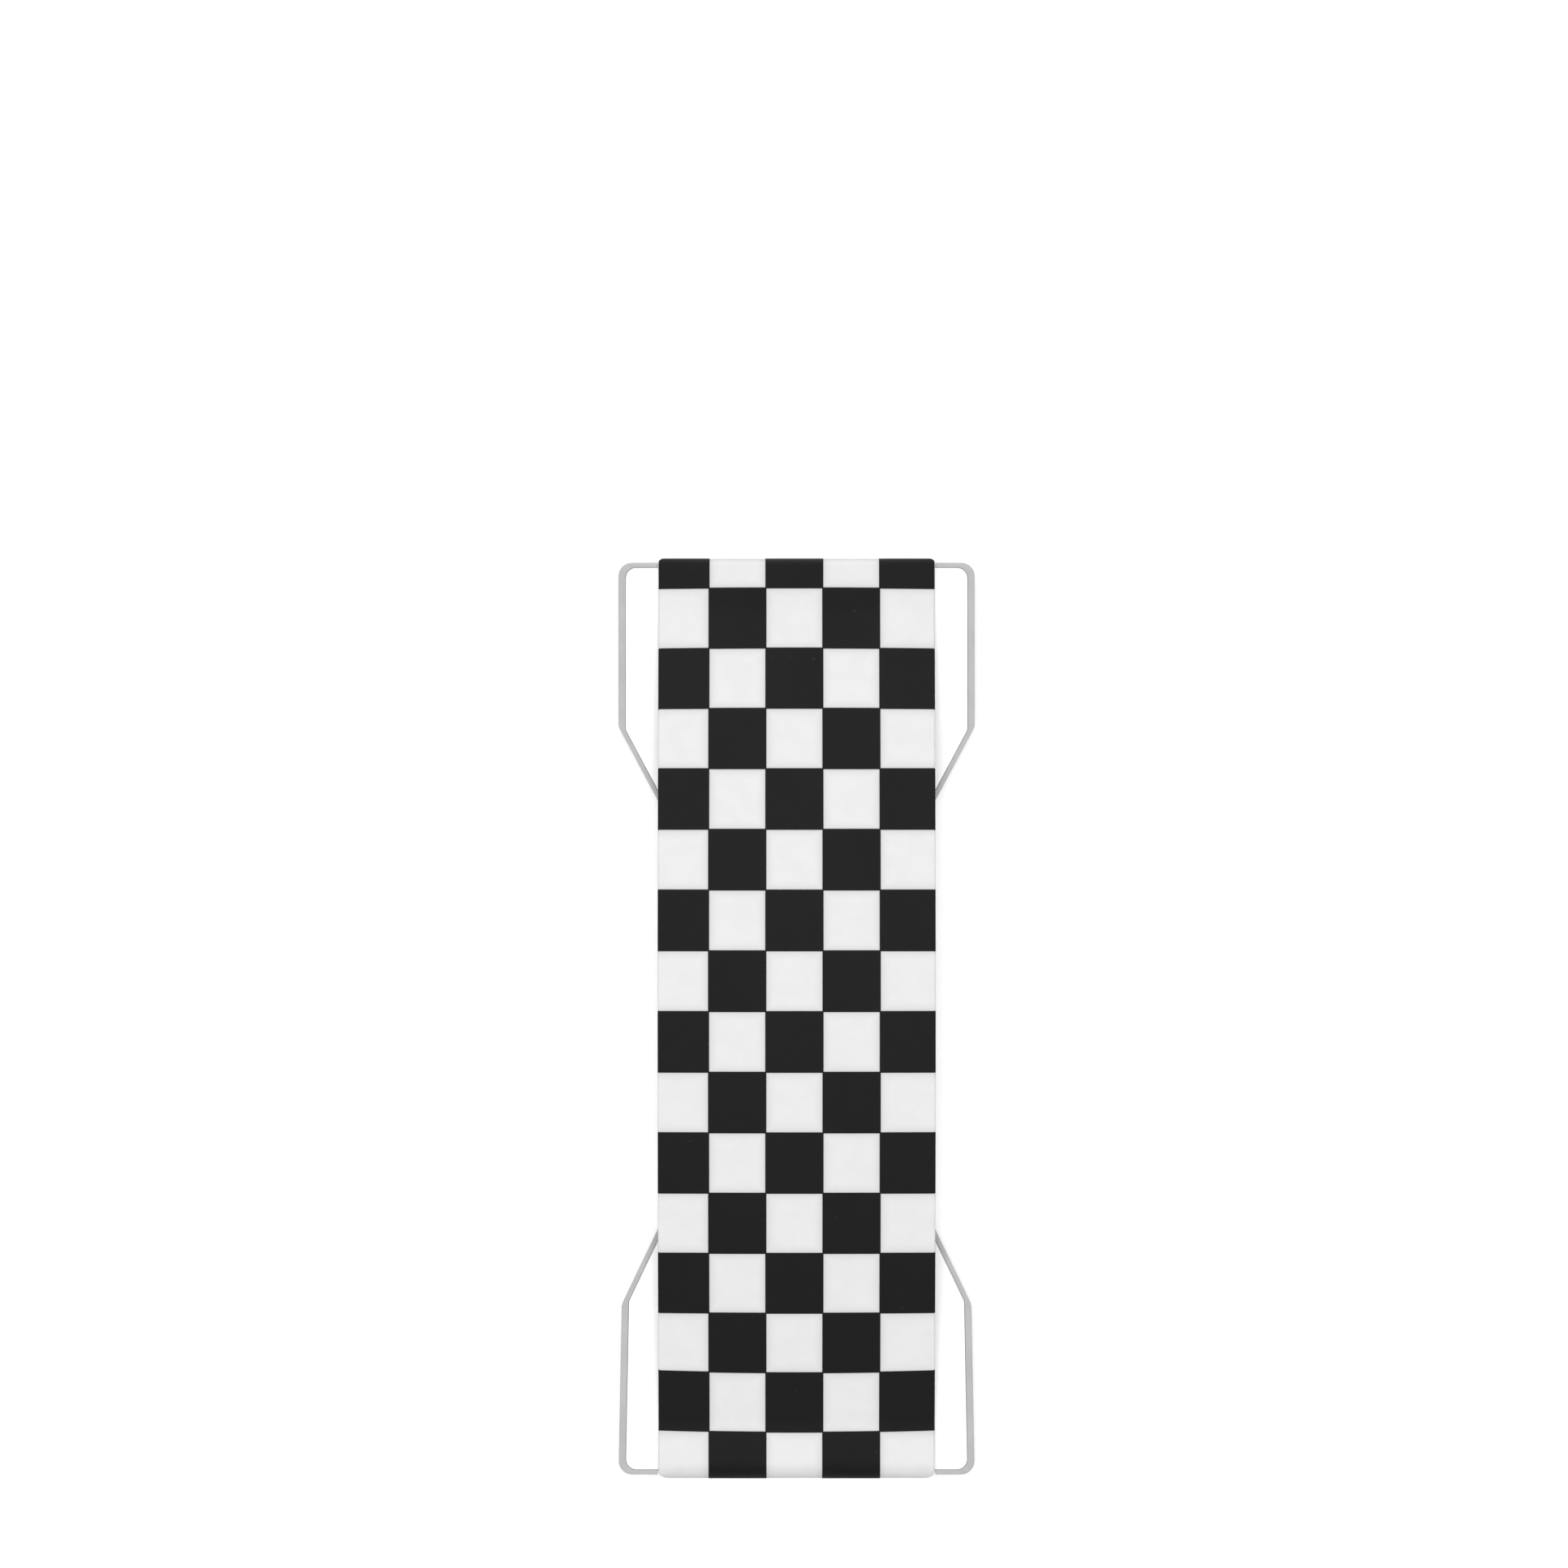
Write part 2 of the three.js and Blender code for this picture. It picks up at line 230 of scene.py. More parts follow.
class NodeBench:
    """A node tree, with short calls that place nodes and join them."""

    def __init__(self, tree: bpy.types.NodeTree) -> None:
        """Keeps the tree to work on."""
        self.tree = tree

    def add(self, kind: str, settings: dict[str, object] | None = None, **inputs: object) -> bpy.types.Node:
        """Places a node.

        Args:
            kind: the node's type, without the word ShaderNode.
            settings: values for the node's own properties.
            inputs: a value or a socket for each input, by its name with _ for each space.

        Returns:
            The new node.
        """
        node = self.tree.nodes.new("ShaderNode" + kind)
        for key, value in (settings or {}).items():
            setattr(node, key, value)
        for key, value in inputs.items():
            self.feed(node.inputs[key.replace("_", " ")], value)
        return node

    def feed(self, socket: Socket, value: object) -> None:
        """Gives an input a value, or a link from another node's output.

        Args:
            socket: the input.
            value: the value, or the other node's output.
        """
        if isinstance(value, Socket):
            self.tree.links.new(value, socket)
        else:
            socket.default_value = value

    def by_order(self, node: bpy.types.Node, values: Sequence[object], first: int = 0) -> bpy.types.Node:
        """Feeds a node's inputs in order.

        Args:
            node: the node to feed.
            values: a value or a socket for each input.
            first: the number of the input that takes the first value.

        Returns:
            The same node.
        """
        for number, value in enumerate(values, first):
            self.feed(node.inputs[number], value)
        return node

    def place(self) -> Socket:
        """The place on the piece, in metres."""
        return self.add("TexCoord").outputs["Object"]

    def noise(self, place: Socket, scale: object, detail: float, **inputs: object) -> Socket:
        """Soft noise from 0 to 1, finer with a larger scale and richer with more detail."""
        return self.add("TexNoise", Vector=place, Scale=scale, Detail=detail, **inputs).outputs[0]

    def math(self, operation: str, *values: object) -> Socket:
        """The result of a Math node on these values."""
        return self.by_order(self.add("Math", {"operation": operation}), values).outputs[0]

    def range(self, value: Socket, low: object, high: object, to_low: float, to_high: float) -> Socket:
        """A value carried smoothly from the range low to high into the range to_low to to_high."""
        node = self.add("MapRange", {"interpolation_type": "SMOOTHSTEP"})
        return self.by_order(node, (value, low, high, to_low, to_high)).outputs[0]

    def mix(self, share: object, first: object, second: object) -> Socket:
        """A colour between two others.

        Args:
            share: how much of the second colour shows.
            first: the colour at a share of 0.
            second: the colour at a share of 1.

        Returns:
            The mixed colour.
        """
        node = self.add("Mix", {"data_type": "RGBA"})
        self.feed(node.inputs[0], share)
        return self.by_order(node, (first, second), 6).outputs[2]

    def effect(self, group: bpy.types.NodeTree, **inputs: object) -> bpy.types.Node:
        """Places a shared effect, with its values by name."""
        return self.add("Group", {"node_tree": group}, **inputs)


@dataclass(frozen=True)
class Checker:
    """The printed checkerboard, in millimetres.

    A square is black where the numbers of its row and its column add up to an even number, and the rows near
    the two ends bow a little away from the middle of the band.
    """

    column_pitch: float = 6.26
    row_pitch: float = 6.64
    shift: float = -0.25
    first_row: float = 3.22
    spread: float = 0.06
    top_bow: float = 0.1
    bottom_bow: float = 0.2
    bow_start: float = 30.0
    bow_full: float = 39.0
    bow_end: float = 46.5

    def bow(self, y: Array, across: Array, run_end: Array) -> Array:
        """How far the rows near the ends are drawn in beside the band's edges.

        Args:
            y: places along the band.
            across: places across it, from -1 at one edge to 1 at the other.
            run_end: where the band starts to turn down, past which nothing is drawn in.

        Returns:
            The distance along Y at each place.
        """
        amount = np.where(y > 0, self.top_bow, self.bottom_bow)
        rising = np.clip((np.abs(y) - self.bow_start) / (self.bow_full - self.bow_start), 0, 1)
        fading = np.clip((run_end - np.abs(y)) / (run_end - self.bow_end), 0, 1)
        return -np.sign(y) * amount * rising * fading * across**2

    def column_lines(self, half_width: float) -> Array:
        """Where the lines between the columns lie, from left to right."""
        each_side = int((half_width - abs(self.shift)) / self.column_pitch + 0.5)
        return self.shift + (np.arange(-each_side, each_side) + 0.5) * self.column_pitch

    def row_lines(self, end: float, lowest: float) -> Array:
        """Where the lines between the rows lie, from the top end down to a lowest place."""
        first = end - self.first_row
        return first - self.row_pitch * np.arange(int((first - lowest) / self.row_pitch) + 1)

    def numbers_at(self, place: float, lines: Array) -> set[int]:
        """The row or column at a place, counted from 0, or both beside a line that the ink spreads over."""
        return {int((lines < place - self.spread).sum()), int((lines < place + self.spread).sum())}


class SharedEffects:
    """The shader node groups that several finishes use, each built once."""

    def __init__(self, checker: Checker, top_end: float) -> None:
        """Builds every group.

        Args:
            checker: the printed lines.
            top_end: the place of the band's top end along Y, in millimetres.
        """
        self.grain = self.moulding_grain()
        self.wear = self.edge_wear()
        self.marks = self.handling_marks()
        self.beside = self.beside_print(checker, top_end)

    @staticmethod
    def new_group(
        name: str, inputs: dict[str, float], outputs: Sequence[str]
    ) -> tuple[NodeBench, dict[str, Socket], dict[str, Socket]]:
        """An empty group of values.

        Args:
            name: the group's name.
            inputs: each input's name and first value.
            outputs: each output's name.

        Returns:
            A bench for the group, the sockets that give its inputs, and the sockets that take its outputs.
        """
        tree = bpy.data.node_groups.new(name, "ShaderNodeTree")
        for label, value in inputs.items():
            socket = tree.interface.new_socket(name=label, in_out="INPUT", socket_type="NodeSocketFloat")
            socket.default_value = value
        for label in outputs:
            tree.interface.new_socket(name=label, in_out="OUTPUT", socket_type="NodeSocketFloat")
        given = tree.nodes.new("NodeGroupInput").outputs
        wanted = tree.nodes.new("NodeGroupOutput").inputs
        return NodeBench(tree), dict(given.items()), dict(wanted.items())

    def moulding_grain(self) -> bpy.types.NodeTree:
        """The fine matt grain that a mould leaves, as a height and a broader mottle.

        Returns:
            The node group.
        """
        bench, given, wanted = self.new_group("moulding grain", {"Scale": 5000.0}, ["Height", "Mottle"])
        place = bench.place()
        fine = bench.noise(place, given["Scale"], 3.0, Roughness=0.6)
        pits = bench.add("TexVoronoi", {"feature": "SMOOTH_F1"}, Vector=place, Scale=given["Scale"])
        broad = bench.noise(place, bench.math("DIVIDE", given["Scale"], 14.0), 4.0)
        bench.feed(wanted["Height"], bench.math("MULTIPLY_ADD", pits.outputs[0], 0.5, fine))
        bench.feed(wanted["Mottle"], bench.range(broad, 0.35, 0.65, 0.0, 1.0))
        return bench.tree

    def edge_wear(self) -> bpy.types.NodeTree:
        """Where corners are rubbed, uneven along the edge, as a mask.

        Returns:
            The node group.
        """
        inputs = {"Start": 0.505, "Full": 0.56, "Scale": 900.0}
        bench, given, wanted = self.new_group("edge wear", inputs, ["Mask"])
        corner = bench.add("NewGeometry").outputs["Pointiness"]
        rubbed = bench.range(corner, given["Start"], given["Full"], 0.0, 1.0)
        patches = bench.range(bench.noise(bench.place(), given["Scale"], 3.0), 0.3, 0.6, 0.2, 1.0)
        bench.feed(wanted["Mask"], bench.math("MULTIPLY", rubbed, patches))
        return bench.tree

    def handling_marks(self) -> bpy.types.NodeTree:
        """Faint smears and a few specks of dust from handling, as two masks.

        Returns:
            The node group.
        """
        inputs = {"Smear Scale": 120.0, "Dust Scale": 650.0}
        bench, given, wanted = self.new_group("handling marks", inputs, ["Smears", "Dust"])
        place = bench.place()
        stretched = bench.add("Mapping", Vector=place, Scale=(1.0, 0.35, 1.0), Rotation=(0.0, 0.0, 0.4))
        smear = bench.noise(stretched.outputs[0], given["Smear Scale"], 5.0)
        speck = bench.add("TexVoronoi", Vector=place, Scale=given["Dust Scale"])
        few = bench.range(bench.noise(place, given["Smear Scale"], 1.0), 0.55, 0.7, 0.0, 1.0)
        specks = bench.range(speck.outputs[0], 0.05, 0.12, 1.0, 0.0)
        bench.feed(wanted["Smears"], bench.range(smear, 0.42, 0.68, 0.0, 1.0))
        bench.feed(wanted["Dust"], bench.math("MULTIPLY", specks, few))
        return bench.tree

    def beside_print(self, checker: Checker, top_end: float) -> bpy.types.NodeTree:
        """How near a place on the band's outer side is to the checkerboard's lines.

        Args:
            checker: the printed lines.
            top_end: the place of the band's top end along Y.

        Returns:
            A group that takes Reach and Wobble in millimetres, and gives Nearness from 0 to 1.
        """
        inputs = {"Reach": 1.2, "Wobble": 0.03}
        bench, given, wanted = self.new_group("beside print", inputs, ["Nearness"])
        place = bench.place()
        noise = bench.noise(place, 3000.0, 2.0)
        wobble = bench.math("MULTIPLY", bench.math("SUBTRACT", noise, 0.5), given["Wobble"])
        axes = bench.add("SeparateXYZ", Vector=place).outputs
        first_column = checker.shift + checker.column_pitch / 2
        column = self.line_distance(bench, axes["X"], first_column, checker.column_pitch)
        row = self.line_distance(bench, axes["Y"], top_end - checker.first_row, checker.row_pitch)
        off_centre = bench.math("ABSOLUTE", bench.math("SUBTRACT", axes["X"], checker.shift * MM))
        past_columns = bench.math("GREATER_THAN", off_centre, 2 * checker.column_pitch * MM)
        column = bench.math("MULTIPLY_ADD", past_columns, checker.column_pitch, column)
        distance = bench.math("ADD", bench.math("MINIMUM", column, row), wobble)
        share = bench.math("DIVIDE", distance, given["Reach"])
        near = bench.math("POWER", bench.math("SUBTRACT", 1.0, bench.math("MINIMUM", share, 1.0)), 2.2)
        up = bench.add("SeparateXYZ", Vector=bench.add("NewGeometry").outputs["Normal"]).outputs["Z"]
        bench.feed(wanted["Nearness"], bench.math("MULTIPLY", near, bench.range(up, -0.05, 0.25, 0.0, 1.0)))
        return bench.tree

    @staticmethod
    def line_distance(bench: NodeBench, place: Socket, line: float, pitch: float) -> Socket:
        """How many millimetres a place lies from the nearest of evenly spaced lines."""
        turns = bench.math("DIVIDE", bench.math("SUBTRACT", place, line * MM), pitch * MM)
        return bench.math("MULTIPLY", bench.math("PINGPONG", turns, 0.5), pitch)


def new_material(name: str, **fixed: object) -> tuple[bpy.types.Material, NodeBench, bpy.types.Node]:
    """A material with one Principled shader.

    Args:
        name: the material's name.
        fixed: values for the shader's own sockets that are the same all over, by name with _ for each space.

    Returns:
        The material, a bench for its nodes, and the shader.
    """
    material = bpy.data.materials.new(name)
    material.use_nodes = True
    material.node_tree.nodes.clear()
    bench = NodeBench(material.node_tree)
    shader = bench.add("BsdfPrincipled", **fixed)
    bench.add("OutputMaterial", Surface=shader.outputs[0])
    return material, bench, shader


def grey(value: float, warmth: float = 0.0) -> tuple[float, float, float, float]:
    """A grey as a colour, a little warmer or cooler where asked."""
    return (value * (1 + warmth), value, value * (1 - warmth), 1.0)


@dataclass(frozen=True)
class Layers:
    """What a finish paints with: its bench, the shared effects, and the outputs of its grain and marks."""

    bench: NodeBench
    effects: SharedEffects
    masks: dict[str, Socket]

    def mottled(self, body: float, other: float) -> Socket:
        """A grey, mottled with another along the grain."""
        return self.bench.mix(self.masks["Mottle"], grey(other), grey(body))

    def dusted(self, colour: Socket, share: float, dust: object) -> Socket:
        """A colour under specks of dust that cover a share of it."""
        return self.bench.mix(self.bench.math("MULTIPLY", self.masks["Dust"], share), colour, dust)

    def rubbed_edges(self) -> Socket:
        """Where corners are rubbed, from 0 to 1."""
        return self.bench.effect(self.effects.wear).outputs[0]

    def near_print(self, reach: float, wobble: float) -> Socket:
        """How near the printed lines are, from 0 at this reach to 1 on them."""
        return self.bench.effect(self.effects.beside, Reach=reach, Wobble=wobble).outputs[0]


@dataclass(frozen=True)
class Finish:
    """A finely grained material, a little uneven from its making and its handling.

    Each kind of finish has its own colour, and may have its own height and further values for the shader's
    own sockets. It shares the rest.
    """

    on_shader: ClassVar[dict[str, object]] = {}
    name: str
    body: float
    mottled: float
    roughness: float
    unevenness: float
    grain_scale: float
    bump: float
    bump_metres: float = 0.00002
    uneven_by: str = "Smears"
    ior: float = 1.45

    def make(self, effects: SharedEffects) -> bpy.types.Material:
        """The material.

        Args:
            effects: the shared node groups.

        Returns:
            A new material, with its own nodes.
        """
        material, bench, shader = new_material(self.name, IOR=self.ior, **self.on_shader)
        grain = bench.effect(effects.grain, Scale=self.grain_scale)
        masks = dict(grain.outputs.items()) | dict(bench.effect(effects.marks).outputs.items())
        rough = bench.math("MULTIPLY_ADD", masks[self.uneven_by], self.unevenness, self.roughness)
        layers = Layers(bench, effects, masks)
        bump = bench.add("Bump", Strength=self.bump, Distance=self.bump_metres, Height=self.height(layers))
        bench.feed(shader.inputs["Base Color"], self.colour(layers))
        bench.feed(shader.inputs["Roughness"], rough)
        bench.feed(shader.inputs["Normal"], bump.outputs[0])
        return material

    def colour(self, layers: Layers) -> Socket:
        """The colour: here the body's grey, mottled with another."""
        return layers.mottled(self.body, self.mottled)

    def height(self, layers: Layers) -> Socket:
        """The relief that the light shows: here the grain alone."""
        return layers.masks["Height"]


@dataclass(frozen=True)
class LinerFinish(Finish):
    """A matt white sheet with a faint tooth, shinier where it is smeared."""

    name: str = "white liner sheet"
    body: float = 0.965
    mottled: float = 0.95
    roughness: float = 0.66
    unevenness: float = -0.08
    grain_scale: float = 3600.0
    bump: float = 0.2


@dataclass(frozen=True)
class SiliconeFinish(Finish):
    """White silicone: satin and a little translucent, with painted shade just beside the print, where the ink
    keeps light out of it.
    """

    on_shader = {"Subsurface_Weight": 0.2, "Subsurface_Scale": 0.0006, "Subsurface_Radius": (1.0, 0.95, 0.9)}
    name: str = "white silicone"
    ior: float = 1.41
    body: float = 0.715
    mottled: float = 0.7
    painted_shade_beside_ink: float = 0.595
    shade_reach: float = 1.3
    shade_wobble: float = 0.12
    dust: float = 0.45
    dust_warmth: float = 0.06
    dust_share: float = 0.12
    roughness: float = 0.48
    unevenness: float = 0.08
    grain_scale: float = 7000.0
    bump: float = 0.25

    def colour(self, layers: Layers) -> Socket:
        """The mottled body with specks of dust, and painted shade beside the ink.

        Args:
            layers: what to paint with.

        Returns:
            The colour.
        """
        colour = layers.dusted(super().colour(layers), self.dust_share, grey(self.dust, self.dust_warmth))
        # painted shade: the white is darkened near the printed lines, in place of the light that the ink
        # keeps out of the translucent silicone
        near = layers.near_print(self.shade_reach, self.shade_wobble)
        return layers.bench.mix(near, colour, grey(self.painted_shade_beside_ink))


@dataclass(frozen=True)
class InkFinish(Finish):
    """Black silicone ink: even and satin, and slightly thinner along the edges of each square."""

    name: str = "black print ink"
    ior: float = 1.42
    body: float = 0.005
    mottled: float = 0.0068
    thin_reach: float = 0.35
    thin_wobble: float = 0.1
    thin_by_line: float = 0.5
    thin_in_patches: float = 0.25
    dust: float = 0.3
    dust_share: float = 0.05
    roughness: float = 0.46
    unevenness: float = 0.07
    grain_scale: float = 9000.0
    bump: float = 0.2

    def colour(self, layers: Layers) -> Socket:
        """Black, paler where the ink is thin, with specks of dust.

        Args:
            layers: what to paint with.

        Returns:
            The colour.
        """
        bench = layers.bench
        patchy = bench.math("MULTIPLY", layers.masks["Mottle"], self.thin_in_patches)
        near = layers.near_print(self.thin_reach, self.thin_wobble)
        thinned = bench.math("MULTIPLY_ADD", near, self.thin_by_line, patchy)
        colour = bench.mix(thinned, grey(self.body), grey(self.mottled))
        return layers.dusted(colour, self.dust_share, grey(self.dust))


@dataclass(frozen=True)
class MouldedPlasticFinish(Finish):
    """Grey moulded plastic, paler where its edges are rubbed."""

    name: str = "grey moulded plastic"
    ior: float = 1.46
    body: float = 0.445
    mottled: float = 0.415
    rubbed: float = 0.48
    rubbed_share: float = 0.6
    roughness: float = 0.5
    unevenness: float = 0.1
    grain_scale: float = 4200.0
    bump: float = 0.4
    bump_metres: float = 0.00003

    def colour(self, layers: Layers) -> Socket:
        """The mottled body, with rubbed edges."""
        worn = layers.bench.math("MULTIPLY", layers.rubbed_edges(), self.rubbed_share)
        return layers.bench.mix(worn, super().colour(layers), grey(self.rubbed))


@dataclass(frozen=True)
class FoamFinish(Finish):
    """Pale adhesive foam with open cells, with painted shade in the cells."""

    name: str = "adhesive foam"
    body: float = 0.66
    # the mottled grey is the painted shade colour deep in the cells
    mottled: float = 0.5
    roughness: float = 0.9
    uneven_by: str = "Mottle"
    unevenness: float = -0.06
    grain_scale: float = 8000.0
    cell_scale: float = 4000.0
    grain_share: float = 0.3
    warmth: float = 0.015
    cell_warmth: float = 0.02
    bump: float = 0.7
    bump_metres: float = 0.00006

    def cell_depth(self, bench: NodeBench) -> Socket:
        """How deep in a cell a place lies, from 0 to 1."""
        cells = bench.add("TexVoronoi", {"feature": "SMOOTH_F1"}, Vector=bench.place(), Scale=self.cell_scale)
        return bench.range(cells.outputs[0], 0.1, 0.6, 1.0, 0.0)

    def colour(self, layers: Layers) -> Socket:
        """Painted shade in the cells, and a little warm."""
        # painted shade: the colour darkens towards the bottom of each cell hollow
        body, shaded_cells = grey(self.body, self.warmth), grey(self.mottled, self.cell_warmth)
        return layers.bench.mix(self.cell_depth(layers.bench), body, shaded_cells)

    def height(self, layers: Layers) -> Socket:
        """The cells, with a little of the grain."""
        walls = layers.bench.math("SUBTRACT", 1.0, self.cell_depth(layers.bench))
        return layers.bench.math("MULTIPLY_ADD", layers.masks["Height"], self.grain_share, walls)


@dataclass(frozen=True)
class Piece:
    """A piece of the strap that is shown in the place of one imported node."""

    node: ClassVar[str]
    slot: ClassVar[str]
    finish: ClassVar[Finish]

    def shaped(self) -> bpy.types.Object:
        """The piece's bare mesh, which each kind of piece makes in its own way."""
        raise NotImplementedError

    def build(self, effects: SharedEffects) -> bpy.types.Object:
        """Makes the piece, dresses it and seats it on its body.

        Args:
            effects: the shared node groups.

        Returns:
            The piece.
        """
        piece = self.shaped()
        piece.data.materials.clear()
        piece.data.materials.append(self.finish.make(effects))
        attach(piece, ROOT)
        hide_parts(self.node)
        return piece


@dataclass(frozen=True)
class BandShape:
    """The silicone band's form, in millimetres: an arch over two flat feet, with a hook below each end."""

    width: float
    end: float
    tail_bottom: float
    seat: float = 3.25
    thickness: float = 1.6
    arch_rise: float = 6.2
    arch_fullness: float = 1.15
    crown_rise: float = 0.5
    foot_length: float = 5.9
    crease_softness: float = 0.9
    crease_taps: int = 11
    crease_falloff: float = 0.98
    groove_depth: float = 0.07
    groove_width: float = 1.2
    top_groove_inset: float = 0.55
    bottom_groove_inset: float = -0.1
    edge_radius: float = 0.3
    top_corner_radius: float = 0.25
    bottom_corner_radius: float = 0.7
    top_roll_radius: float = 0.65
    bottom_roll_radius: float = 1.9
    hook_wall: float = 1.45
    hook_fillet: float = 0.3
    heel_radius: float = 0.35
    tail_length: float = 4.0
    tail_thickness: float = 1.0
    fillet_steps: int = 12
    tip_steps: int = 16
    roll_steps: int = 24
    section_places: tuple[int, ...] = (9, 9, 22, 6, 34)

    @classmethod
    def from_frame(cls) -> "BandShape":
        """The band as wide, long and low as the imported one."""
        low, high = node_box_mm("strap")
        return cls(width=high.x - low.x, end=high.y, tail_bottom=low.z)

    @property
    def arch_half(self) -> float:
        """Half of the arch's span, from the middle to a foot."""
        return self.end - self.foot_length

    @property
    def hook_inner(self) -> float:
        """Where the inside of the hook's wall lies."""
        return self.end - self.hook_wall

    @property
    def foot_start(self) -> float:
        """Where the hook's upper corner ends and the foot begins."""
        return self.hook_inner - 2 * self.hook_fillet

    def roll_radius(self, end: End) -> float:
        """How round the band turns down at an end."""
        return self.top_roll_radius if end is End.TOP else self.bottom_roll_radius

    def roll_height(self, end: End) -> float:
        """The height of that roll's centre."""
        return self.seat + self.thickness - self.roll_radius(end)

    def underside(self, y: Array) -> Array:
        """Height of the band's underside, flat at the feet and arched between them."""
        share = np.minimum(1.0, np.abs(y) / self.arch_half)
        return self.seat + self.arch_rise * (1 - share**2) ** self.arch_fullness

    def top(self, y: Array) -> Array:
        """Height of the band's top at its side edges, with a shallow groove where the arch meets each foot.

        Args:
            y: places along the band.

        Returns:
            The height at each place.
        """
        taps = np.linspace(-1.0, 1.0, self.crease_taps)
        weights = 1 - taps**2 * self.crease_falloff
        weights /= weights.sum()
        nearby = y[:, None] + taps * self.crease_softness
        soft = self.underside(nearby) @ weights
        inset = np.where(y > 0, self.top_groove_inset, self.bottom_groove_inset)
        off = (np.abs(y) - self.arch_half - inset) / self.groove_width
        return soft + self.thickness - self.groove_depth * np.exp(-(off**2))

    def drawn_in(self, y: Array) -> Array:
        """How far each side draws in near the ends, which rounds the corners seen from above.

        Args:
            y: places along the band.

        Returns:
            The distance at each place.
        """
        radius = np.where(y > 0, self.top_corner_radius, self.bottom_corner_radius)
        along = np.maximum(0.0, np.abs(y) - (self.end - radius))
        return radius - np.sqrt(np.maximum(0.0, radius**2 - along**2))

    def hook_pairs(self, end: End) -> tuple[Array, Array]:
        """The hook's outer and inner lines, from the tail's tip round to the foot.

        Args:
            end: which end of the band.

        Returns:
            Matching places on the two lines, each a distance from the band's middle and a height.
        """
        tip = self.tail_thickness / 2
        tip_centre = (self.hook_inner - self.tail_length + tip, self.tail_bottom + tip)
        tail_top = self.tail_bottom + self.tail_thickness
        inside = self.hook_inner - self.hook_fillet
        heel = (self.end - self.heel_radius, self.tail_bottom + self.heel_radius)
        low, high = tail_top + self.hook_fillet, self.seat - self.hook_fillet
        heel_arc = arc_points(heel, self.heel_radius, -90, 0, self.fillet_steps)
        lower_fillet = arc_points((inside, low), self.hook_fillet, -90, 0, self.fillet_steps)
        upper_fillet = arc_points((inside, high), self.hook_fillet, 0, 90, self.fillet_steps)
        radius = self.roll_radius(end)
        roll = arc_points((self.end - radius, self.roll_height(end)), radius, 0, 90, self.roll_steps)
        outer_sections = [
            arc_points(tip_centre, tip, 180, 270, self.tip_steps),
            [(tip_centre[0], self.tail_bottom), (inside, self.tail_bottom)],
            [(inside, self.tail_bottom), *heel_arc, (self.end, low)],
            [(self.end, low), (self.end, high)],
            [(self.end, high), *roll, (self.foot_start, self.seat + self.thickness)],
        ]
        inner_sections = [
            arc_points(tip_centre, tip, 180, 90, self.tip_steps),
            [(tip_centre[0], tail_top), (inside, tail_top)],
            lower_fillet,
            [(self.hook_inner, low), (self.hook_inner, high)],
            [*upper_fillet, (self.foot_start, self.seat)],
        ]
        outer, inner = (
            [spread_along(np.array(line, float), count)[1:] for line, count in zip(side, self.section_places)]
            for side in (outer_sections, inner_sections)
        )
        tip_point = [(tip_centre[0] - tip, tip_centre[1])]
        return np.vstack([tip_point, *outer]), np.vstack([tip_point, *inner])

    def ribbon(self, run_steps: int) -> tuple[Array, Array]:
        """The band's outer and inner lines from one tail's tip to the other.

        Args:
            run_steps: how many steps the stretch between the hooks is cut into.

        Returns:
            Matching places along the two lines, each a Y and a Z.
        """
        y = np.linspace(self.foot_start, -self.foot_start, run_steps + 1)[1:-1]
        outer, inner = [], []
        for end in End:
            hook_outer, hook_inner = self.hook_pairs(end)
            step = end.value
            outer.append((hook_outer * (step, 1))[::step])
            inner.append((hook_inner * (step, 1))[::step])
        run_outer = np.column_stack([y, self.top(y)])
        run_inner = np.column_stack([y, self.underside(y)])
        return np.vstack([outer[0], run_outer, outer[1]]), np.vstack([inner[0], run_inner, inner[1]])


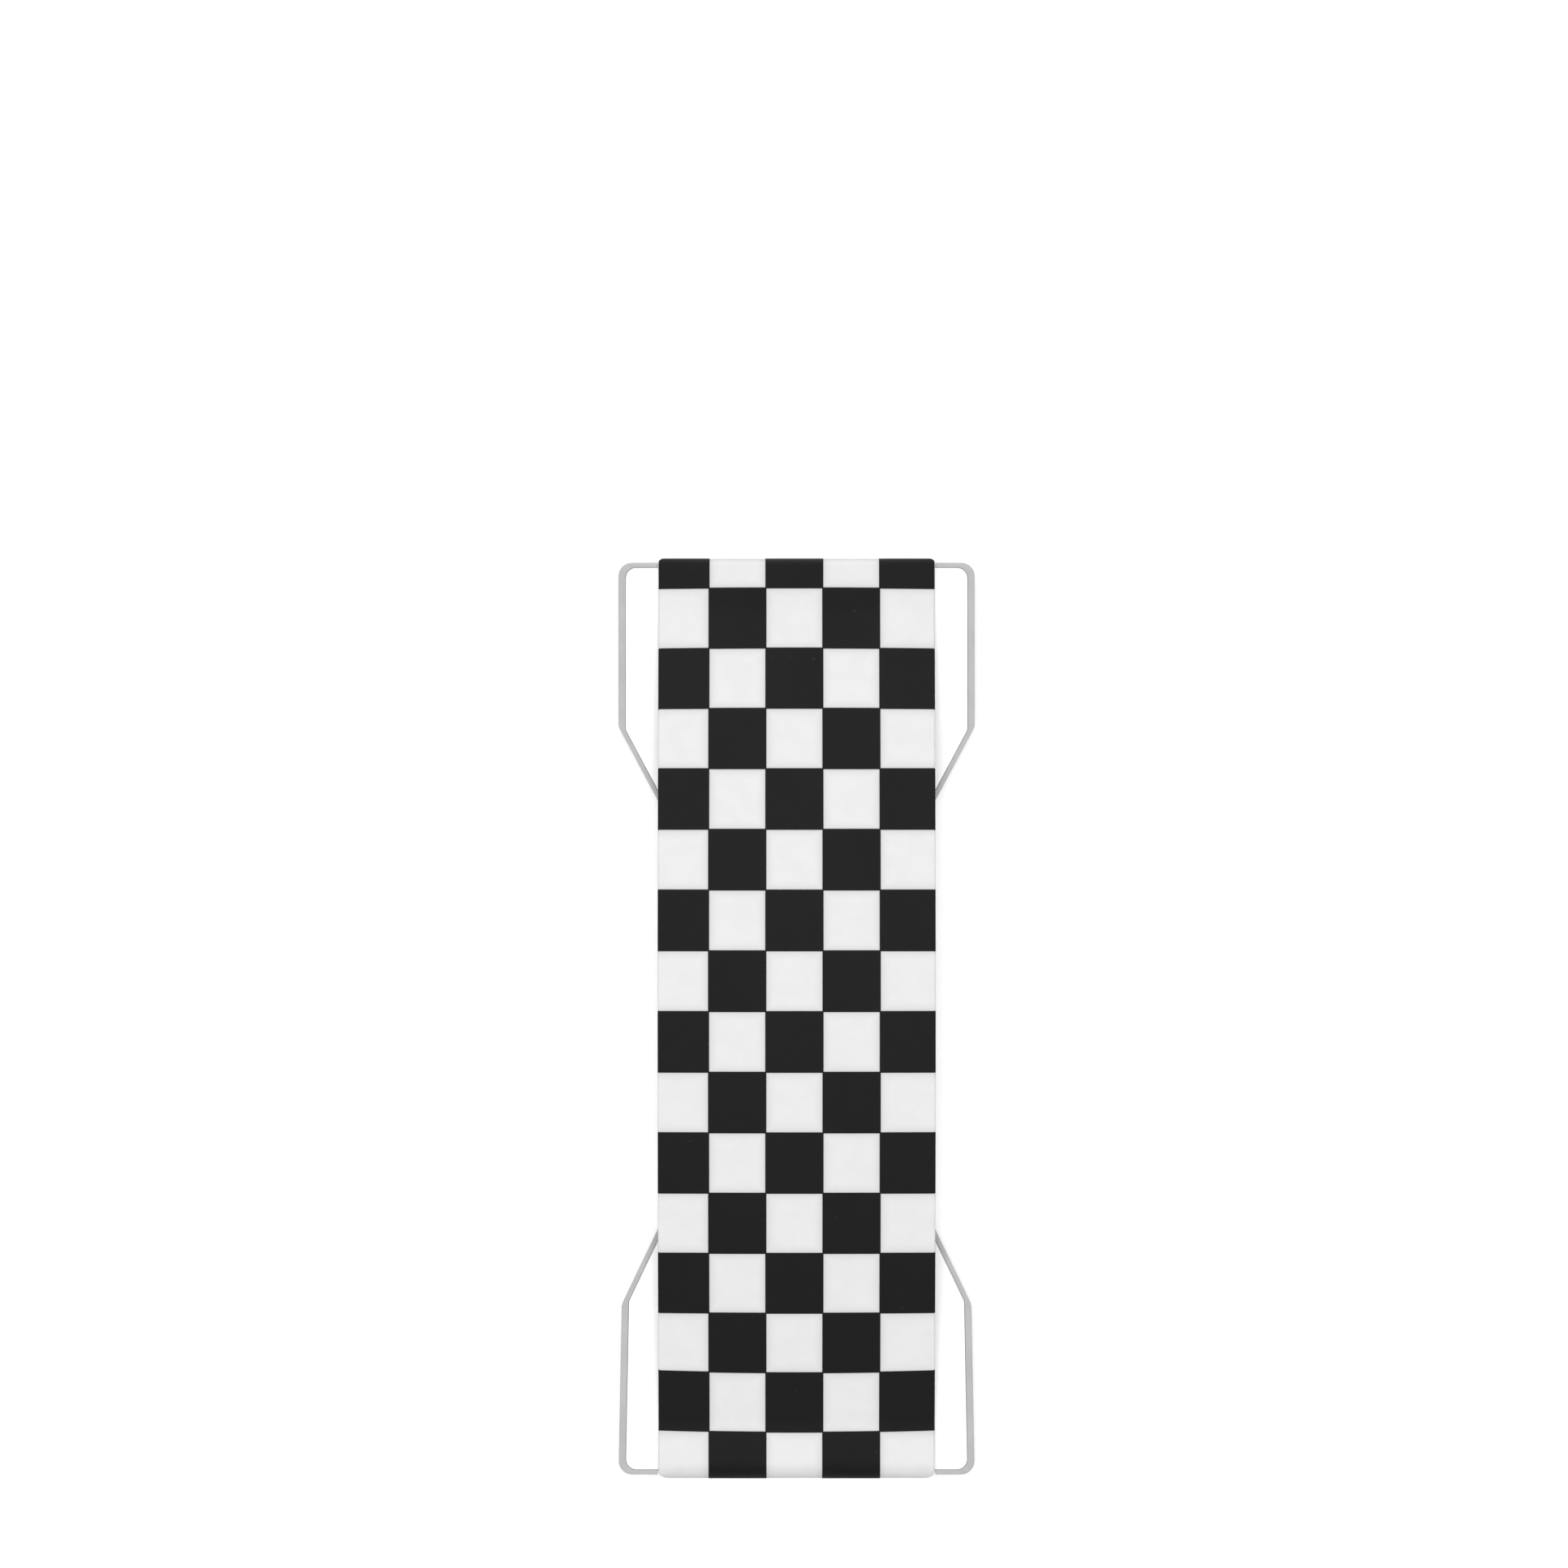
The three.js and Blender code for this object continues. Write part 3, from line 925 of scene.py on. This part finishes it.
@dataclass(frozen=True)
class StrapBand(Piece):
    """The white silicone band as a finely rounded mesh."""

    node = "strap"
    slot = "strap_silicone"
    finish = SiliconeFinish()
    shape: BandShape
    run_steps: int = 300
    across_steps: int = 44
    edge_steps: int = 4
    edge_share: float = 0.45
    wall_shares: tuple[float, ...] = (0.5, 0.32, 0.14)
    parting_ridge: float = 0.02

    def shaped(self) -> bpy.types.Object:
        """Makes the band's mesh.

        Returns:
            The band, undressed.
        """
        outer, inner = self.shape.ribbon(self.run_steps)
        apart = np.linalg.norm(outer - inner, axis=1)
        edge = np.minimum(self.shape.edge_radius, apart * self.edge_share)
        outer_normal = side_normals(outer, -1.0)
        inner_normal = side_normals(inner, 1.0)
        flat_foot = np.abs(outer[:, 0]) < self.shape.foot_start
        upper = outer[:, 1] > self.shape.seat - self.shape.hook_fillet
        crown = np.where(flat_foot, 1.0, np.clip(outer_normal[:, 1], 0, 1)) * upper
        outer_wall = outer - outer_normal * edge[:, None]
        inner_wall = inner - inner_normal * edge[:, None]
        outside = self.half_ring(outer, outer_normal, edge, crown, inner_wall)
        inside = self.half_ring(inner, inner_normal, edge, np.zeros(len(edge)), outer_wall)
        rings = np.concatenate([outside, inside[:, -2:0:-1]], axis=1)
        levels, around = rings.shape[:2]
        number = np.arange(levels * around).reshape(levels, around)
        beside = np.roll(number, -1, axis=1)
        quads = np.stack([number[:-1], number[1:], beside[1:], beside[:-1]], axis=-1).reshape(-1, 4)
        band = mesh_object("silicone_band", rings.reshape(-1, 3), quads)
        finish_mesh(band, Crease.SOFT)
        return band

    def half_ring(self, line: Array, normal: Array, edge: Array, crown: Array, far_wall: Array) -> Array:
        """One side of the band's section at every step, from the middle of one wall to that of the other.

        Args:
            line: places along this side's line, each a Y and a Z.
            normal: the outward normal at each place.
            edge: the radius of the rounded edges at each place.
            crown: how much of the crown's rise each place has.
            far_wall: where the wall ends at the other side of the band.

        Returns:
            One row of points for each step.
        """
        half = self.shape.width / 2
        drawn_in = self.shape.drawn_in(line[:, 0])
        far_drawn_in = self.shape.drawn_in(far_wall[:, 0])
        near_wall = line - normal * edge[:, None]
        wall = []
        for share in self.wall_shares:
            place = near_wall + (far_wall - near_wall) * share
            inward = drawn_in + (far_drawn_in - drawn_in) * share
            ridge = self.parting_ridge * (share == max(self.wall_shares)) * (edge / self.shape.edge_radius)
            wall.append(np.column_stack([half + ridge - inward, place]))
        for angle in np.radians(np.linspace(0, 90, self.edge_steps + 1)):
            place = line - normal * (edge * (1 - np.sin(angle)))[:, None]
            x = half - edge * (1 - np.cos(angle)) - drawn_in
            wall.append(np.column_stack([x, place]))
        surface = []
        for share in np.linspace(1, -1, self.across_steps + 1)[1:-1]:
            surface.append(np.column_stack([share * wall[-1][:, 0], line]))
        mirrored = [points * (-1, 1, 1) for points in reversed(wall)]
        ring = np.stack([*wall, *surface, *mirrored], axis=1)
        rise = self.shape.crown_rise * (1 - (ring[:, :, 0] / half) ** 2)
        ring[:, :, 2] += crown[:, None] * np.maximum(rise, 0)
        return ring


@dataclass(frozen=True)
class CheckerPrint(Piece):
    """The black squares as one thin layer of ink that wraps over the rolls at both ends."""

    node = "checker_print"
    slot = "print_ink"
    finish = InkFinish()
    shape: BandShape
    checker: Checker
    cell: float = 0.5
    roll_steps: int = 10
    edge_steps: int = 4
    lift: float = 0.05
    root: float = 0.02
    wrap: float = 0.4
    edge_lift_share: float = 0.5
    steepest_up: float = 0.5

    def skin_steps(self) -> Array:
        """Places along the band's outer line where the ink is cut into cells, from the top end to the bottom.

        Returns:
            For each place, its Y and Z, its normal's Y and Z, and its share of the crown.
        """
        shape = self.shape
        run_ends = shape.end - shape.top_roll_radius, shape.bottom_roll_radius - shape.end
        y = even_cells([run_ends[0], *self.row_lines(), run_ends[1]], self.checker.spread, self.cell)
        slope = (shape.top(y + SLOPE_REACH_MM) - shape.top(y - SLOPE_REACH_MM)) / (2 * SLOPE_REACH_MM)
        length = np.hypot(slope, 1)
        run = np.column_stack([y, shape.top(y), -slope / length, 1 / length, np.ones(len(y))])
        return np.vstack([self.roll_steps_at(End.TOP)[::-1], run, self.roll_steps_at(End.BOTTOM)])

    def roll_steps_at(self, end: End) -> Array:
        """The ink's steps round one roll and a little way down the end face.

        Args:
            end: which end of the band.

        Returns:
            As skin_steps, from the roll's top outwards.
        """
        radius = self.shape.roll_radius(end)
        angle = np.radians(np.linspace(90, 0, self.roll_steps + 1))
        across, up = np.cos(angle), np.sin(angle)
        y = end.value * (self.shape.end - radius + radius * across)
        roll = np.column_stack([y, self.shape.roll_height(end) + radius * up, end.value * across, up, up])
        below = roll[-1] - (0, self.wrap, 0, 0, 0)
        return np.vstack([roll, below])

    def stations(self) -> Array:
        """Places across the band where the ink is cut into cells, from left to right.

        Returns:
            For each place, its X, how deep it lies below the top there, and which side's edge it is on, or 0.
        """
        edge, half = self.shape.edge_radius, self.shape.width / 2
        angle = np.radians(np.linspace(0, 90, self.edge_steps + 1))
        in_from_side, below_top = edge * (1 - np.cos(angle)), edge * (1 - np.sin(angle))
        side = np.column_stack([half - in_from_side, below_top, np.ones(len(angle))])
        stops = [-(half - edge), *self.checker.column_lines(half), half - edge]
        flat = even_cells(stops, self.checker.spread, self.cell)
        centre = np.column_stack([flat, np.zeros(len(flat)), np.zeros(len(flat))])
        return np.vstack([side * (-1, 1, -1), centre, side[::-1]])

    def inked(self, steps: Array, stations: Array) -> Array:
        """Which cells hold ink.

        Args:
            steps: the places along the band.
            stations: the places across it.

        Returns:
            True or False for each cell between two steps and two stations.
        """
        rows = self.row_lines()
        columns = self.checker.column_lines(self.shape.width / 2)
        down = [self.checker.numbers_at(-y, -rows) for y in (steps[1:, 0] + steps[:-1, 0]) / 2]
        along = [self.checker.numbers_at(x, columns) for x in (stations[1:, 0] + stations[:-1, 0]) / 2]
        return np.array([[self.is_black(row, column) for column in along] for row in down])

    @staticmethod
    def is_black(rows: set[int], columns: set[int]) -> bool:
        """Whether any of a place's squares is black."""
        return any((row + column) % 2 == 0 for row in rows for column in columns)

    def row_lines(self) -> Array:
        """Where the lines between the rows lie, as far as the roll at the bottom end."""
        lowest = self.shape.bottom_roll_radius - self.shape.end + self.checker.spread
        return self.checker.row_lines(self.shape.end, lowest)

    def skin(self, steps: Array, stations: Array, lift: float) -> Array:
        """A grid of points on the band's skin.

        Args:
            steps: the places along the band.
            stations: the places across it.
            lift: how far above the skin the points lie.

        Returns:
            One row of points for each step.
        """
        y, z, normal_y, normal_z, crown = (column[:, None] for column in steps.T)
        x, inset, side = (column[None, :] for column in stations.T)
        depth = lift - inset
        across = np.minimum(1.0, np.abs(x) / (self.shape.width / 2))
        run_end = self.shape.end - np.where(y > 0, self.shape.top_roll_radius, self.shape.bottom_roll_radius)
        shift = self.checker.bow(y, across, run_end)
        slope = -normal_y / np.maximum(normal_z, self.steepest_up)
        place_x = x - side * self.shape.drawn_in(y) + side * lift * self.edge_lift_share * (inset > 0)
        place_y = y + shift + normal_y * depth
        rise = crown * self.shape.crown_rise * (1 - across**2)
        place_z = z + shift * slope + normal_z * depth + rise
        return np.stack(np.broadcast_arrays(place_x, place_y, place_z), axis=-1)

    def shaped(self) -> bpy.types.Object:
        """Makes the print's mesh.

        Returns:
            The print, undressed.
        """
        steps, stations = self.skin_steps(), self.stations()
        filled = self.inked(steps, stations)
        count = len(steps) * len(stations)
        above = np.arange(count).reshape(len(steps), len(stations))
        below = above + count
        faces = []
        padded = np.pad(filled, 1)
        for row, column in zip(*np.nonzero(filled)):
            corners = [(row, column), (row + 1, column), (row + 1, column + 1), (row, column + 1)]
            faces.append([above[corner] for corner in corners])
            faces.append([below[corner] for corner in reversed(corners)])
            for side, (down, along) in enumerate([(0, -1), (1, 0), (0, 1), (-1, 0)]):
                if not padded[row + 1 + down, column + 1 + along]:
                    first, second = corners[side], corners[(side + 1) % 4]
                    faces.append([above[second], above[first], below[first], below[second]])
        high = self.skin(steps, stations, self.lift).reshape(-1, 3)
        low = self.skin(steps, stations, -self.root).reshape(-1, 3)
        used = np.unique(np.array(faces))
        renumber = np.zeros(2 * count, int)
        renumber[used] = np.arange(len(used))
        ink = mesh_object("checker_ink", np.vstack([high, low])[used], renumber[np.array(faces)])
        finish_mesh(ink, Crease.SOFT)
        return ink


@dataclass(frozen=True)
class BaseOutline:
    """The base seen from above, in millimetres: a wing at each end and a narrow waist between them."""

    width: float
    length: float
    corner_radius: float = 1.45
    elbow_radius: float = 1.2
    waist_width: float = 25.0
    waist_radius: float = 6.0
    top_wing_length: float = 18.08
    top_wing_angle: float = 28.0
    bottom_wing_length: float = 18.68
    bottom_wing_taper: float = 0.35
    bottom_wing_angle: float = 25.5
    corner_steps: int = 14

    @classmethod
    def from_frame(cls) -> "BaseOutline":
        """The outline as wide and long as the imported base."""
        low, high = node_box_mm("base_plate")
        return cls(width=high.x - low.x, length=high.y - low.y)

    def corners(self) -> list[tuple[float, float, float | None]]:
        """The outline's corners, from the bottom right all round.

        Returns:
            Each corner's X and Y, and its radius, or None for the four end corners.
        """
        half, waist, end = self.width / 2, self.waist_width / 2, self.length / 2
        elbow = half - self.bottom_wing_taper
        bottom, top = -end + self.bottom_wing_length, end - self.top_wing_length
        bottom_run = (elbow - waist) / math.tan(math.radians(self.bottom_wing_angle))
        top_run = (half - waist) / math.tan(math.radians(self.top_wing_angle))
        right = [
            (half, -end, None),
            (elbow, bottom, self.elbow_radius),
            (waist, bottom + bottom_run, self.waist_radius),
            (waist, top - top_run, self.waist_radius),
            (half, top, self.elbow_radius),
            (half, end, None),
        ]
        return right + [(-x, y, radius) for x, y, radius in reversed(right)]

    def ring(self, side: float, rest: float, end_radius: float) -> Array:
        """The outline drawn in from the plate's edges.

        Args:
            side: how far it lies inside the sides of the wings.
            rest: how far it lies inside the two ends, the slants and the waist.
            end_radius: the radius of its four end corners.

        Returns:
            Its points, the same number whatever the distances.
        """
        corners = self.corners()
        points = []
        for index, (x, y, own_radius) in enumerate(corners):
            place = np.array([x, y])
            before, after = corners[index - 1], corners[(index + 1) % len(corners)]
            inset_from, inset_to = (
                rest if (own_radius is None) == (other[2] is None) else side for other in (before, after)
            )
            arriving = (place - before[:2]) / np.linalg.norm(place - before[:2])
            leaving = (after[:2] - place) / np.linalg.norm(after[:2] - place)
            inward_from = np.array([-arriving[1], arriving[0]])
            inward_to = np.array([-leaving[1], leaving[0]])
            shared = inward_from @ inward_to
            place = place + inward_from * (inset_from - inset_to * shared) / (1 - shared**2)
            place = place + inward_to * (inset_to - inset_from * shared) / (1 - shared**2)
            turn = math.atan2(arriving[0] * leaving[1] - arriving[1] * leaving[0], arriving @ leaving)
            bend = math.copysign(1, turn)
            radius = end_radius if own_radius is None else own_radius - bend * rest
            centre = place + (inward_from + inward_to) / (1 + shared) * bend * radius
            start = math.degrees(math.atan2(inward_from[1], inward_from[0]))
            arc = arc_points((0, 0), 1.0, start, start + math.degrees(turn), self.corner_steps)
            points.append(centre - arc * bend * radius)
        return np.vstack(points)


@dataclass(frozen=True)
class EndCut:
    """What the band needs cut out of an end of the base: a notch for its hook, and room for its tail."""

    half_width: float
    bar_end: float
    bar_underside: float
    tail_room: float
    beyond: float
    below: float = -1.0
    reach: float = 10.0
    round_edge: float = 0.2
    round_steps: int = 6

    def cutters(self) -> list[bpy.types.Object]:
        """Makes the solids to cut away.

        Returns:
            One solid for each end.
        """
        low, high = self.below, self.beyond
        bend, steps = self.round_edge, self.round_steps
        bar = arc_points((self.bar_end - bend, self.bar_underside + bend), bend, -90, 0, steps)
        inner = arc_points((self.tail_room + bend, self.bar_underside - bend), bend, 180, 90, steps)
        outside = self.bar_end + self.reach
        closing = [(self.bar_end, high), (outside, high), (outside, low), (self.tail_room, low)]
        side = np.vstack([inner, bar, closing])
        made = []
        for end in End:
            left = np.column_stack([np.full(len(side), -self.half_width), side[:, 0] * end.value, side[:, 1]])
            made.append(moulded_solid(f"end_cut_{end.name.lower()}", [left, left * (-1, 1, 1)]))
        return made


@dataclass(frozen=True)
class BasePlate(Piece):
    """The grey moulded plate: a raised rim round a sunk floor, cut at both ends for the band's hooks."""

    node = "base_plate"
    slot = "base_plastic"
    finish = MouldedPlasticFinish()
    outline: BaseOutline
    band: BandShape
    rim_width: float = 0.75
    rim_thin_width: float = 0.5
    recess_corner_radius: float = 1.2
    rim_above_floor: float = 0.5
    outer_round: float = 0.16
    inner_round: float = 0.1
    foot_round: float = 0.15
    round_steps: int = 5
    fit_gap: float = 0.15
    tail_gap: float = 0.4
    bar_thickness: float = 1.0

    def profile(self, bottom: float, top: float) -> list[tuple[float, float, float, float]]:
        """The plate's section from under its edge, over the rim and down to the floor.

        Args:
            bottom: the height of the plate's underside.
            top: the height of the rim.

        Returns:
            Each ring's distances inside the wings' sides and the rest, its corner radius and its height.
        """
        corner, recess = self.outline.corner_radius, self.recess_corner_radius
        turns = [
            ((1, 1), (270, 180), self.foot_round, (0, 0, corner, bottom)),
            ((1, -1), (180, 90), self.outer_round, (0, 0, corner, top)),
            ((-1, -1), (90, 0), self.inner_round, (self.rim_width, self.rim_thin_width, recess, top)),
        ]
        rows = [
            (side + radius * across, rest + radius * across, bend - radius * across, height + radius * up)
            for centre, angles, radius, (side, rest, bend, height) in turns
            for across, up in arc_points(centre, 1.0, *angles, self.round_steps)
        ]
        return [*rows, (self.rim_width, self.rim_thin_width, recess, top - self.rim_above_floor)]

    def shaped(self) -> bpy.types.Object:
        """Makes the plate's mesh.

        Returns:
            The plate, undressed.
        """
        low, high = node_box_mm("base_plate")
        rings = [at_height(self.outline.ring(*row[:3]), row[3]) for row in self.profile(low.z, high.z)]
        plate = moulded_solid("base_moulding", rings)
        bar_end = self.band.hook_inner - self.fit_gap
        floor = high.z - self.rim_above_floor
        cut = EndCut(
            half_width=self.band.width / 2 + self.fit_gap,
            bar_end=bar_end,
            bar_underside=floor - self.bar_thickness,
            tail_room=self.band.hook_inner - self.band.tail_length - self.tail_gap + self.fit_gap,
            beyond=high.z + CUT_CLEAR_MM,
        )
        cut_away(plate, cut.cutters())
        return plate


@dataclass(frozen=True)
class FaceLiner(Piece):
    """The thin white sheet inside the rim, which stops short of the band's feet."""

    node = "face_liner"
    slot = "liner_white"
    finish = LinerFinish()
    outline: BaseOutline
    band: BandShape
    plate: BasePlate
    edge_gap: float = 0.03
    edge_round: float = 0.08
    round_steps: int = 4
    setback: float = 2.4
    beside_band: float = 0.03

    def shaped(self) -> bpy.types.Object:
        """Makes the liner's mesh.

        Returns:
            The liner, undressed.
        """
        low, high = node_box_mm("face_liner")
        side, rest = self.plate.rim_width + self.edge_gap, self.plate.rim_thin_width + self.edge_gap
        radius = self.plate.recess_corner_radius - self.edge_gap
        rings = [at_height(self.outline.ring(side, rest, radius), low.z)]
        for across, up in arc_points((1, -1), 1.0, 180, 90, self.round_steps):
            inset = self.edge_round * across
            ring = self.outline.ring(side + inset, rest + inset, radius - inset)
            rings.append(at_height(ring, high.z + self.edge_round * up))
        liner = moulded_solid("liner_sheet", rings)
        cut = EndCut(
            half_width=self.band.width / 2 + self.beside_band,
            bar_end=self.band.arch_half - self.setback,
            bar_underside=low.z - CUT_CLEAR_MM,
            tail_room=self.band.arch_half - self.setback - CUT_CLEAR_MM,
            beyond=high.z + CUT_CLEAR_MM,
        )
        cut_away(liner, cut.cutters())
        return liner


@dataclass(frozen=True)
class AdhesivePad(Piece):
    """The foam adhesive sheet under the plate, with a soft cut edge."""

    node = "adhesive_pad"
    slot = "adhesive_foam"
    finish = FoamFinish()
    outline: BaseOutline
    inset: float = 0.5
    belly: float = 0.06
    roughness: float = 0.02
    levels: int = 7
    points_around: int = 900
    cell_waves: tuple[tuple[float, float], ...] = ((2.399, 1.7), (0.731, 4.1))

    def build(self, effects: SharedEffects) -> bpy.types.Object:
        """Args:
            effects: the shared node groups.

        Returns:
            The pad.
        """
        pad = super().build(effects)
        return pad

    def shaped(self) -> bpy.types.Object:
        """Makes the pad's mesh.

        Returns:
            The pad, undressed.
        """
        low, high = node_box_mm("adhesive_pad")
        number = np.arange(self.points_around)
        rings = []
        for level in range(self.levels):
            share = level / (self.levels - 1)
            inward = self.inset + self.belly * (2 * share - 1) ** 2
            ring = self.outline.ring(inward, inward, self.outline.corner_radius - inward)
            closed = spread_along(np.vstack([ring, ring[:1]]), self.points_around + 1)[:-1]
            cells = np.prod([np.sin(number * along + level * up) for along, up in self.cell_waves], axis=0)
            scale = 1 - self.roughness * (1 + cells) / self.outline.width
            rings.append(at_height(closed * scale[:, None], low.z + (high.z - low.z) * share))
        return moulded_solid("adhesive_foam", rings)


@dataclass(frozen=True)
class Studio:
    """The pale floor, the soft light and the camera straight above."""

    picture_pixels: int = 1932
    pixels_per_mm: float = 11.17
    object_pixel: tuple[float, float] = (981.5, 1255.15)
    camera_height: float = 0.9
    sensor_mm: float = 36.0
    floor_radius: float = 4.0
    tent_light: float = 0.46
    tent_lean: tuple[float, float, float] = (-0.03, 0.25, 0.0)
    softbox_place: tuple[float, float, float] = (-0.02, 0.0, 1.3)
    softbox_size: float = 1.0
    softbox_watts: float = 14.8
    floor_glow: float = 0.16
    floor_greys: tuple[float, float] = (0.93, 0.95)
    floor_cloud_scale: float = 4.0
    floor_sides: int = 96
    clip: tuple[float, float] = (0.05, 20.0)

    def set_up(self, measured_height: float) -> None:
        """Builds the floor, the lights and the camera.

        Args:
            measured_height: the height at which the picture's scale was measured, in millimetres.
        """
        self.add_floor()
        self.add_world()
        self.add_softbox()
        self.add_camera(measured_height)
        bpy.context.scene.view_settings.view_transform = "Standard"

    def add_floor(self) -> None:
        """A wide pale disc that the object stands on."""
        rim = arc_points((0, 0), self.floor_radius / MM, 0, 360, self.floor_sides)[:-1]
        places = np.vstack([np.column_stack([rim, np.zeros(len(rim))]), [(0, 0, 0)]])
        count = len(rim)
        floor = mesh_object("studio_floor", places, [(k, (k + 1) % count, count) for k in range(count)])
        floor.location.z = -0.01 * MM
        glow = {"Emission_Color": grey(1.0), "Emission_Strength": self.floor_glow}
        material, bench, shader = new_material("studio floor", IOR=1.3, Roughness=0.85, **glow)
        cloud = bench.noise(bench.place(), self.floor_cloud_scale, 2.0)
        bench.feed(shader.inputs["Base Color"], bench.mix(cloud, *map(grey, self.floor_greys)))
        floor.data.materials.append(material)
        floor.visible_glossy = False

    def add_world(self) -> None:
        """Dim even surroundings, as in a white tent, a little brighter towards the top of the picture."""
        world = bpy.data.worlds.new("white tent")
        world.use_nodes = True
        world.node_tree.nodes.clear()
        bench = NodeBench(world.node_tree)
        direction = bench.add("TexCoord").outputs["Generated"]
        lean = bench.add("VectorMath", {"operation": "DOT_PRODUCT"})
        towards_top = bench.by_order(lean, (direction, self.tent_lean)).outputs["Value"]
        strength = bench.math("MAXIMUM", bench.math("ADD", towards_top, self.tent_light), 0.0)
        background = bench.add("Background", Color=grey(1.0), Strength=strength)
        bench.add("OutputWorld", Surface=background.outputs[0])
        bpy.context.scene.world = world

    def add_softbox(self) -> None:
        """One large soft light overhead, polarised so that its own glare stays out of the picture."""
        light = bpy.data.lights.new("softbox", "AREA")
        light.shape = "DISK"
        light.size = self.softbox_size
        light.energy = self.softbox_watts
        softbox = bpy.data.objects.new("softbox", light)
        softbox.location = self.softbox_place
        softbox.rotation_euler = (-Vector(self.softbox_place)).to_track_quat("-Z", "Y").to_euler()
        softbox.visible_glossy = False
        bpy.context.scene.collection.objects.link(softbox)

    def add_camera(self, measured_height: float) -> None:
        """A camera that looks straight down at the middle of the picture.

        Args:
            measured_height: the height at which the picture's scale was measured, in millimetres.
        """
        middle = self.picture_pixels / 2
        x = (middle - self.object_pixel[0]) / self.pixels_per_mm
        y = (self.object_pixel[1] - middle) / self.pixels_per_mm
        view_width = self.picture_pixels / self.pixels_per_mm * MM
        camera = bpy.data.cameras.new("camera")
        camera.sensor_fit = "HORIZONTAL"
        camera.sensor_width = self.sensor_mm
        camera.lens = self.sensor_mm * self.camera_height / view_width
        camera.clip_start, camera.clip_end = self.clip
        holder = bpy.data.objects.new("camera", camera)
        holder.location = (x * MM, y * MM, self.camera_height + measured_height * MM)
        bpy.context.scene.collection.objects.link(holder)
        bpy.context.scene.camera = holder


def main() -> None:
    """Builds every piece in order, then the studio."""
    logging.basicConfig(level=logging.INFO, format="%(name)s: %(message)s")
    checker = Checker()
    band = BandShape.from_frame()
    outline = BaseOutline.from_frame()
    effects = SharedEffects(checker, band.end)
    plate = BasePlate(outline, band)
    builders = [
        AdhesivePad(outline),
        plate,
        FaceLiner(outline, band, plate),
        StrapBand(band),
        CheckerPrint(band, checker),
    ]
    for builder in builders:
        piece = builder.build(effects)
        LOG.info("%s has %d faces", piece.name, len(piece.data.polygons))
    Studio().set_up(node_box_mm("base_plate")[1].z)


if __name__ == "__main__":
    main()
